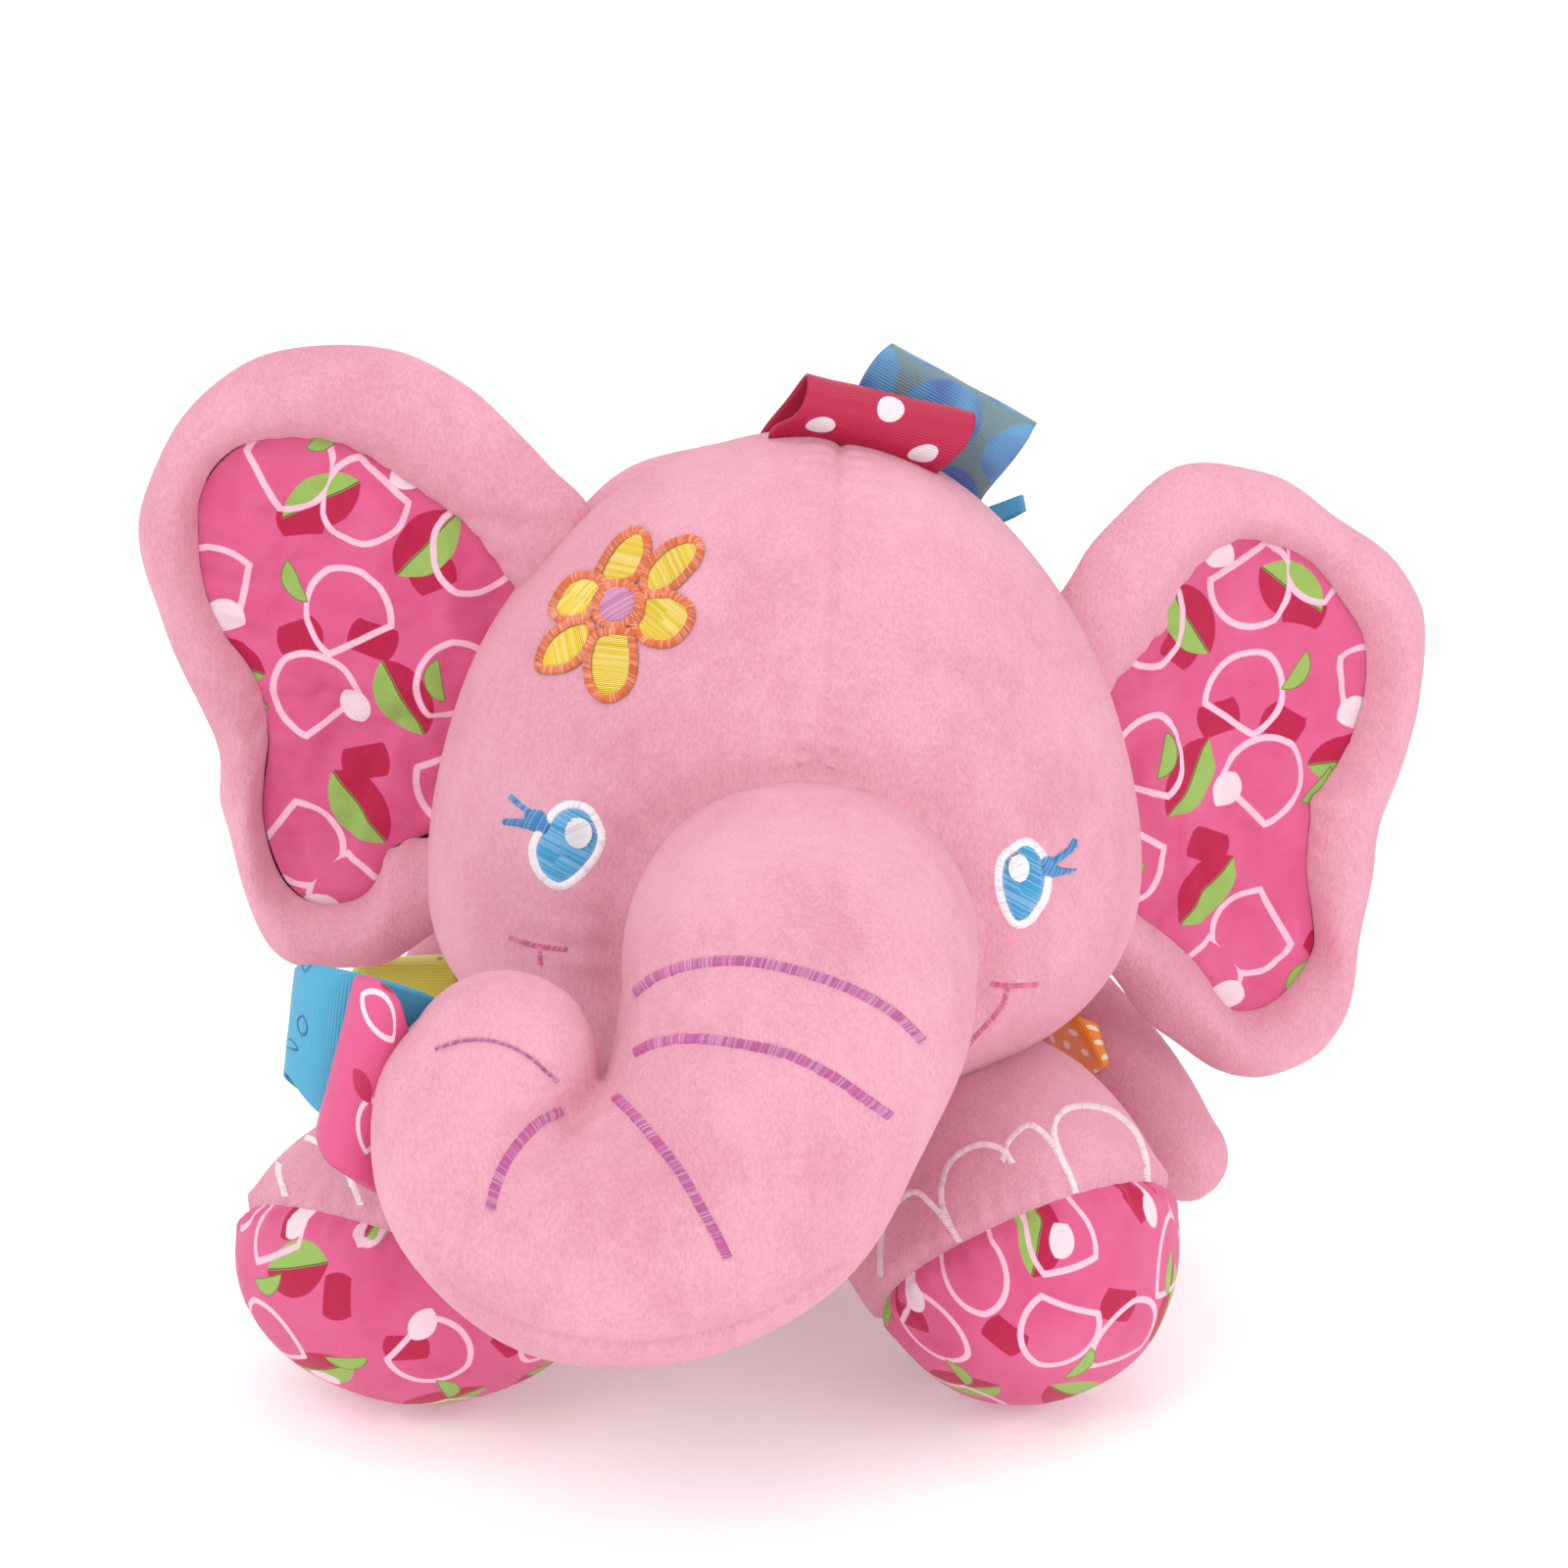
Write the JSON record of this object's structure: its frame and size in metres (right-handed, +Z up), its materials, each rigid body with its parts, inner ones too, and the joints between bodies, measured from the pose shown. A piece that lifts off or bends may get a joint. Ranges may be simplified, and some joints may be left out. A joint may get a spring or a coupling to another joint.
{
  "type": "stuffed elephant",
  "caption": "Soft stuffed elephant sitting with its legs stretched forward, with a curled trunk, flapping ears, embroidered face and satin ribbon loops.",
  "frame": {"origin": "the middle of the seat, the flat under the body, on the ground", "axes": "+Z up, the face towards -Y, the toy's left towards +X"},
  "size_m": [0.3021, 0.2524, 0.2351],
  "materials": {
    "pink_plush": "short soft pile, velvety sheen",
    "printed_fabric": "smooth woven cloth with a printed leaf and petal pattern",
    "magenta_satin": "glossy satin with white dots",
    "blue_satin": "glossy satin with pale ovals",
    "pink_satin": "glossy satin with small pale motifs",
    "green_satin": "glossy yellow-green satin",
    "orange_satin": "glossy orange satin",
    "blue_thread": "dense shiny embroidery thread",
    "yellow_thread": "dense shiny embroidery thread",
    "purple_thread": "satin-stitched thread",
    "white_thread": "satin-stitched thread",
    "fibre_filling": "loose polyester fibre"
  },
  "bodies": {
    "body": {"body_belly_panel": "pink_plush", "body_back_panel": "pink_plush", "body_stuffing": "fibre_filling"},
    "head": {"face_panel_left": "pink_plush", "face_panel_right": "pink_plush", "head_back_panel": "pink_plush", "head_stuffing": "fibre_filling", "eye_left_embroidery": "blue_thread", "eye_right_embroidery": "blue_thread", "flower_embroidery": "yellow_thread", "smile_left_embroidery": "purple_thread", "smile_right_embroidery": "purple_thread"},
    "trunk": {"trunk_front_panel": "pink_plush", "trunk_back_panel": "pink_plush", "trunk_stuffing": "fibre_filling", "trunk_wrinkle_embroidery": "purple_thread"},
    "ear_left": {"ear_left_back_panel": "pink_plush", "ear_left_wadding": "fibre_filling", "ear_left_front_rim": "pink_plush", "ear_left_printed_panel": "printed_fabric"},
    "leg_left": {"leg_left_sleeve": "pink_plush", "leg_left_stuffing": "fibre_filling", "leg_left_sole_panel": "printed_fabric", "leg_left_toenail_embroidery": "white_thread"},
    "arm_left": {"arm_left_shell": "pink_plush", "arm_left_stuffing": "fibre_filling"},
    "ear_right": {"ear_right_back_panel": "pink_plush", "ear_right_wadding": "fibre_filling", "ear_right_front_rim": "pink_plush", "ear_right_printed_panel": "printed_fabric"},
    "leg_right": {"leg_right_sleeve": "pink_plush", "leg_right_stuffing": "fibre_filling", "leg_right_sole_panel": "printed_fabric", "leg_right_toenail_embroidery": "white_thread"},
    "arm_right": {"arm_right_shell": "pink_plush", "arm_right_stuffing": "fibre_filling"},
    "head_ribbon_magenta": {"head_ribbon_magenta": "magenta_satin"},
    "head_ribbon_blue": {"head_ribbon_blue": "blue_satin"},
    "hanging_loop": {"hanging_loop": "blue_satin"},
    "trunk_ribbon_pink": {"trunk_ribbon_pink": "pink_satin"},
    "trunk_ribbon_blue": {"trunk_ribbon_blue": "blue_satin"},
    "arm_ribbon_green": {"arm_ribbon_green": "green_satin"},
    "arm_ribbon_orange": {"arm_ribbon_orange": "orange_satin"}
  },
  "joints": [
    {"name": "head_nod", "type": "hinge", "parent": "body", "child": "head", "pos_m": [0.007, -0.032, 0.077], "axis": [-1, 0, 0], "range_deg": [-1, 10]},
    {"name": "trunk_lift", "type": "hinge", "parent": "head", "child": "trunk", "pos_m": [0.0175, -0.113, 0.115], "axis": [-1, 0, 0], "range_deg": [-2, 10]},
    {"name": "ear_left_flap", "type": "hinge", "parent": "head", "child": "ear_left", "pos_m": [0.0845, -0.055, 0.123], "axis": [-0.156, 0, 0.9878], "range_deg": [-18, 8]},
    {"name": "ear_right_flap", "type": "hinge", "parent": "head", "child": "ear_right", "pos_m": [-0.0478, -0.059, 0.142], "axis": [-0.3431, 0, -0.9393], "range_deg": [-18, 8]},
    {"name": "leg_left_splay", "type": "hinge", "parent": "body", "child": "leg_left", "pos_m": [0.035, -0.041, 0.036], "axis": [0, 0, 1], "range_deg": [-2, 15]},
    {"name": "leg_right_splay", "type": "hinge", "parent": "body", "child": "leg_right", "pos_m": [-0.035, -0.041, 0.036], "axis": [0, 0, -1], "range_deg": [-2, 12]},
    {"name": "arm_left_swing", "type": "hinge", "parent": "body", "child": "arm_left", "pos_m": [0.058, -0.013, 0.069], "axis": [1, 0, 0], "range_deg": [-4, 30]},
    {"name": "arm_right_swing", "type": "hinge", "parent": "body", "child": "arm_right", "pos_m": [-0.058, -0.013, 0.069], "axis": [1, 0, 0], "range_deg": [-4, 22]},
    {"name": "head_ribbon_magenta_flop", "type": "hinge", "parent": "head", "child": "head_ribbon_magenta", "pos_m": [0.03095, -0.0592, 0.21035], "axis": [0.8487, 0.0797, -0.5228], "range_deg": [-12, 12]},
    {"name": "head_ribbon_blue_flop", "type": "hinge", "parent": "head", "child": "head_ribbon_blue", "pos_m": [0.044, -0.047, 0.2015], "axis": [0.8175, -0.011, -0.5758], "range_deg": [-4, 12]},
    {"name": "hanging_loop_flop", "type": "hinge", "parent": "head", "child": "hanging_loop", "pos_m": [0.061, -0.035, 0.186], "axis": [-0.174, 0.0148, 0.9846], "range_deg": [-15, 4]},
    {"name": "trunk_ribbon_pink_flop", "type": "hinge", "parent": "trunk", "child": "trunk_ribbon_pink", "pos_m": [-0.0811, -0.17595, 0.08915], "axis": [0.3814, -0.1006, 0.9189], "range_deg": [-10, 4]},
    {"name": "trunk_ribbon_blue_flop", "type": "hinge", "parent": "trunk", "child": "trunk_ribbon_blue", "pos_m": [-0.073, -0.161, 0.104], "axis": [0.0186, -0.0082, 0.9998], "range_deg": [-4, 4]},
    {"name": "arm_ribbon_green_flop", "type": "hinge", "parent": "arm_right", "child": "arm_ribbon_green", "pos_m": [-0.0745, -0.0341, 0.0597], "axis": [0.9204, -0.2171, 0.3252], "range_deg": [-10, 10]},
    {"name": "arm_ribbon_orange_flop", "type": "hinge", "parent": "arm_left", "child": "arm_ribbon_orange", "pos_m": [0.0783, -0.0417, 0.06], "axis": [0.6862, -0.5125, -0.5162], "range_deg": [-10, 10]}
  ]
}
